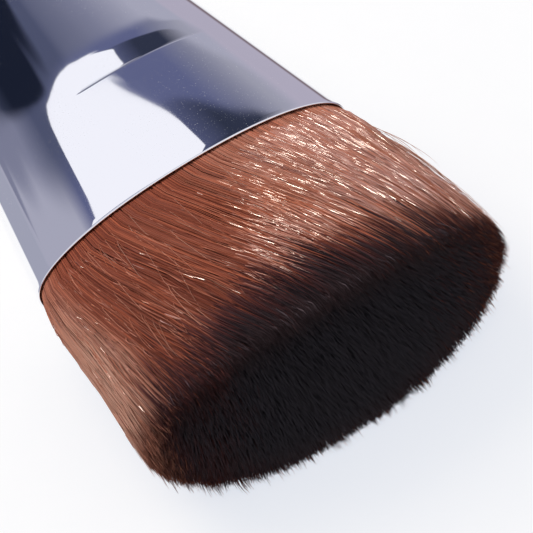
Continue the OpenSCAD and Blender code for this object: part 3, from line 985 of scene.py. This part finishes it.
def stops(value, rows):
    """Linear colours between rows of (value, red, green, blue)."""
    rows = np.asarray(rows, float)
    return np.stack([np.interp(value, rows[:, 0], linear(rows[:, k])) for k in (1, 2, 3)], -1)


def only_reflected(name, points, faces, colours=None, colour=(1, 1, 1)):
    """A studio panel that only reflections see, with a colour for each point or one for all."""
    n = material_nodes(name)
    mesh = bpy.data.meshes.new(name)
    mesh.from_pydata(points, [], faces)
    inputs = {"Color": (*colour, 1), "Strength": 1.0}
    if colours is not None:
        layer = mesh.attributes.new("glow", "FLOAT_COLOR", "POINT")
        rgba = np.concatenate([colours.reshape(-1, 3), np.ones((len(points), 1))], 1)
        layer.data.foreach_set("color", rgba.astype(np.float32).ravel())
        inputs["Color"] = n.add("Attribute", attribute_name="glow").outputs["Color"]
    panel = add_object(name, mesh)
    dress(panel, n.finish(n.add("Emission", inputs).outputs[0]))
    panel.data.materials[0].cycles.emission_sampling = "NONE"
    for rays in ("camera", "diffuse", "shadow", "transmission"):
        setattr(panel, "visible_" + rays, False)


def make_panels():
    """A white card and a shaded panel behind it, square to what the ferrule's face reflects.

    On their plane s runs across and w up, in millimetres. The rim reflects the arc
    w = top - bend (s - middle)^2, and the rest of the ferrule reflects lower lines.
    """
    toward = np.array(PANEL_WAY)
    across = np.cross([0, 0, 1.0], toward)
    across /= np.linalg.norm(across)
    upward = np.cross(toward, across)

    def on_plane(s, w, distance):
        middle = np.array(PANEL_FROM) + toward * distance
        return place(middle + np.multiply.outer(s, across) + np.multiply.outer(w, upward))

    card = np.array(CARD_OUTLINE, float)
    corners = on_plane(card[:, 0], card[:, 1], CARD_AWAY)
    only_reflected("white_card", corners, [tuple(range(len(card)))], colour=CARD_COLOUR)

    columns, rows = np.arange(PANEL_LEFT, PANEL_RIGHT + 1, 3.0), np.arange(PANEL_LOW, PANEL_HIGH + 1, 1.5)
    s, w = np.meshgrid(columns, rows, indexing="ij")
    over_rim = w - RIM_TOP + RIM_BEND * (s - RIM_MIDDLE) ** 2
    further = ease((table(s, NEAR_END) - over_rim) / table(s, NEAR_FADE))[..., None]
    shade = mix(stops(s, PANEL_NEAR), stops(s, PANEL_FAR), further)
    softness = table(s, EDGE_SOFTNESS)
    under = ease((table(s, PANEL_EDGE) + softness - over_rim) / softness / 2)[..., None]
    shade = mix(shade, stops(s, PANEL_DARK), under)
    keep = held(s, PANEL_LEFT, 80, PANEL_RIGHT, 60) * ease((w - PANEL_LOW) / 60)
    wall = mix(linear(WALL_RIGHT), linear(WALL_LEFT), ease((s + 200) / 400)[..., None])
    shade = mix(wall, shade, keep[..., None])
    faces = grid_faces(*s.shape)
    faces = faces[np.abs(faces[:, 0] - faces[:, 1]) == 1]
    only_reflected("shaded_panel", on_plane(s, w, PANEL_AWAY).reshape(-1, 3), faces.tolist(), shade)


def make_surround():
    """Grey sweep round the table: it starts low beside the brush and curves up into a wall."""
    profile = np.array(SWEEP_PROFILE, float)
    turns = np.linspace(0, 2 * np.pi, 128, endpoint=False)
    reach, lift, grey = profile[:, :1], profile[:, 1:2], profile[:, 2:3]
    rightwards = ease(np.sin(turns) * 2)[None, :]
    near = reach - NEARER_RIGHT * rightwards * ease((SWEEP_SHADOW_R - reach) / 15)
    x, y = near * np.cos(turns) * MM, near * np.sin(turns) * MM
    x = x + MOUTH_X - SWEEP_BACK * MM
    points = np.stack([x, y, floor_height(x) + lift * MM], -1)
    away = ease((0.35 - np.cos(turns - np.radians(WALL_TURN))) / 0.7)[None, :]
    grey = grey * (1 - away * ease((lift - 60) / 200))
    wall = mix(linear(WALL_LEFT), linear(WALL_RIGHT), ease(0.5 + 0.5 * np.sin(turns))[None, :, None])
    # Painted shadow: near the brush on the right the sweep takes a darker colour, where the table lies in
    # the brush's shadow
    low = rightwards * ease((SWEEP_SHADOW_R - reach) / 14)
    wall = mix(wall, linear(SWEEP_SHADOW), low[..., None])
    strip = ease((np.cos(turns - np.radians(STRIP_TURN)) - 0.75) / 0.15)[None, :]
    high = ease((lift - 60) / 600) * (1 - strip)
    pale = mix(linear(SWEEP_PALE), linear(SWEEP_HIGH), high[..., None])
    shade = mix(pale, wall, grey[..., None])
    faces = grid_faces(len(profile), len(turns))
    only_reflected("grey_sweep", points.reshape(-1, 3), faces.tolist(), shade)


def make_overhead():
    """Pale scrim over the table: a disc, greyer in the middle, which the broad faces mirror from above."""
    turns = np.linspace(0, 2 * np.pi, 96, endpoint=False)
    reach = np.linspace(2, SCRIM_R, 40)[:, None]
    x, y = reach * np.cos(turns) - SWEEP_BACK, reach * np.sin(turns)
    points = place(np.stack([x, y, 0 * x + SCRIM_UP], -1)).reshape(-1, 3)
    share = ease(reach / SCRIM_R)[..., None] + 0 * turns[:, None]
    shade = mix(linear(SCRIM_MIDDLE), linear(SCRIM_EDGE), share)
    only_reflected("overhead_scrim", points, grid_faces(len(reach), len(turns)).tolist(), shade)


def make_world():
    """White to the camera and to reflections, and a soft even light to the rest."""
    n = Nodes(bpy.data.worlds.new("studio"))
    soft = n.add("Background", {0: SOFT_LIGHT, 1: SOFT_STRENGTH}).outputs[0]
    white = n.add("Background", {0: (1, 1, 1, 1), 1: 1.0}).outputs[0]
    both = n.add("MixShader", {0: n.seen(), 1: soft, 2: white}).outputs[0]
    n.add("OutputWorld", {0: both})
    bpy.context.scene.world = n.owner


def make_lamp(name, direction, size, power, reflected=True):
    """A square lamp in that direction from the hair, facing it."""
    data = bpy.data.lights.new(name, "AREA")
    data.size = size
    data.energy = power
    lamp = add_object(name, data)
    toward = Vector(direction).normalized()
    lamp.location = Vector(place(LAMP_AIM)) + toward * LAMP_AWAY
    lamp.rotation_euler = toward.to_track_quat("Z", "Y").to_euler()
    lamp.visible_glossy = reflected
    return lamp


def make_camera():
    """The photograph's view."""
    data = bpy.data.cameras.new("photo_view")
    data.lens = CAMERA_LENS
    data.sensor_width = 36.0
    data.clip_start = 0.01
    data.clip_end = 20.0
    camera = add_object("photo_view", data)
    right = Vector(CAMERA_RIGHT).normalized()
    forward = Vector(CAMERA_FORWARD).normalized()
    up = right.cross(forward).normalized()
    right = forward.cross(up)
    turn = Matrix((right, up, -forward)).transposed()
    camera.matrix_world = Matrix.Translation(place(CAMERA_PLACE)) @ turn.to_4x4()
    bpy.context.scene.camera = camera


# Assembly

make_camera()
make_world()
make_floor()
make_panels()
make_surround()
make_overhead()
bpy.context.scene.view_settings.view_transform = "Standard"

# The panels stand for the softbox in reflections
make_lamp("key_softbox", (-0.58, -0.25, 0.78), size=0.5, power=2.05, reflected=False)
glint_lamp = make_lamp("glint_lamp", (-0.633, -0.40, 0.66), size=0.12, power=2.65)

ferrule = make_ferrule()
dress(ferrule, chrome())
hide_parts("ferrule")

handle = make_handle()
dress(handle, lacquer())
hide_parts("handle")

hair_material = hair(
    "hair_brown_dipped", BROWN_TONES, PALE_AND_SHEEN_BROWN, DYE_TONES,
    roughness=0.42, specular=0.04, tint=(1.0, 0.9, 0.82))
glossy_hair = hair(
    "hair_brown_glossy", GLOSSY_TONES, PALE_AND_SHEEN_GLOSSY, DYE_TONES,
    roughness=0.2, specular=1.0, tint=(1.0, 0.83, 0.69))
tip_material = hair(
    "hair_tips_dyed", BROWN_TONES, PALE_AND_SHEEN_BROWN, DYED_TIP_TONES,
    roughness=0.45, specular=0.1, tint=(1.0, 0.95, 0.95))

tufts = [make_core()]
for index in range(PIECES):
    tufts.append(make_side_hair(
        "side_hair_%d" % (index + 1), 2700, SEED + index, depth_share=0.12, strand_r=0.06, loose=0.2))
tufts.append(make_loose_hair("loose_hair", 300, SEED + 7))
tufts.append(make_stray_hair("stray_hair", 70, SEED + 9))
tufts.append(make_fringe("fringe_hair", 6000, SEED + 8))
tips = []
for index in range(PIECES):
    band = (index * TIP_ROWS // PIECES, (index + 1) * TIP_ROWS // PIECES)
    tips.append(make_tip_hair(
        "tip_hair_%d" % (index + 1), TIP_COLUMNS, TIP_ROWS, SEED + 10 + index, band, strand_r=0.11))
bright = []
for index in range(PIECES):
    bright.append(make_bright_hair(
        "bright_hair_%d" % (index + 1), 1600, SEED + 30 + index, strand_r=0.038, loose=0.34))
for group, material in ((tufts, hair_material), (tips, tip_material), (bright, glossy_hair)):
    for tuft in group:
        dress(tuft, material)
tufts += tips + bright
for tuft in tufts:
    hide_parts("bristles")

dress(inside["root_binding"], plain("binding_thread", THREAD_TONES, 0.8, 1500, stretch=(8, 1, 1)))
dress(inside["epoxy_plug"], plain("epoxy_amber", EPOXY_TONES, 0.2, 400))
dress(inside["neck_adhesive"], plain("adhesive_cream", ADHESIVE_TONES, 0.6, 700))

for piece in (ferrule, handle, *tufts):
    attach(piece, "root")

# The glint lamp lights the hair alone: its image on the plate would lie among the studio panels
lit_hair = bpy.data.collections.new("lit_hair")
for tuft in tufts:
    lit_hair.objects.link(tuft)
glint_lamp.light_linking.receiver_collection = lit_hair
